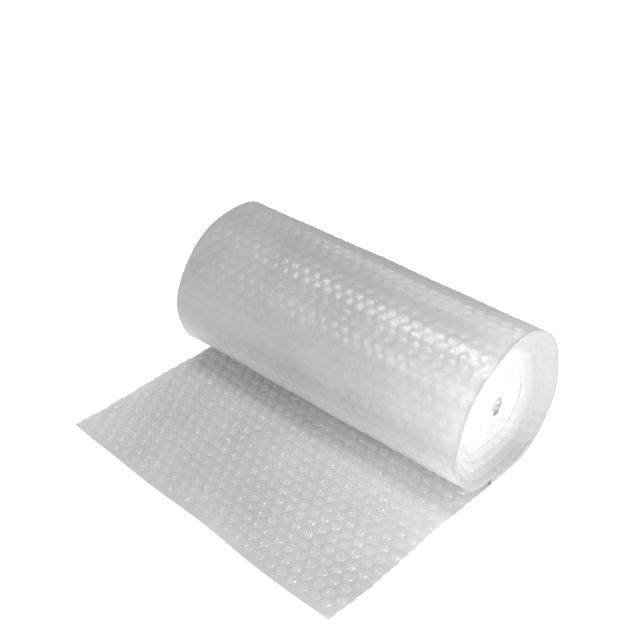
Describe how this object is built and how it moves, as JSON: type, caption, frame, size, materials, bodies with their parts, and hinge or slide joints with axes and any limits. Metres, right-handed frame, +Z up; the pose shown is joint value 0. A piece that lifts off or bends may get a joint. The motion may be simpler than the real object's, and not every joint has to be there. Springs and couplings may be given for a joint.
{
  "type": "bubble wrap roll",
  "caption": "Roll of bubble wrap lying on its side, its last turn drawn out flat over the floor with the bubbles facing up.",
  "frame": {"origin": "on the floor, under the middle of the roll", "axes": "+X along the roll, the free sheet runs toward -Y, +Z up"},
  "size_m": [0.316, 0.2738, 0.1302],
  "materials": {
    "film": "gloss"
  },
  "bodies": {
    "root": {"bubble_wrap": "film"}
  },
  "joints": []
}
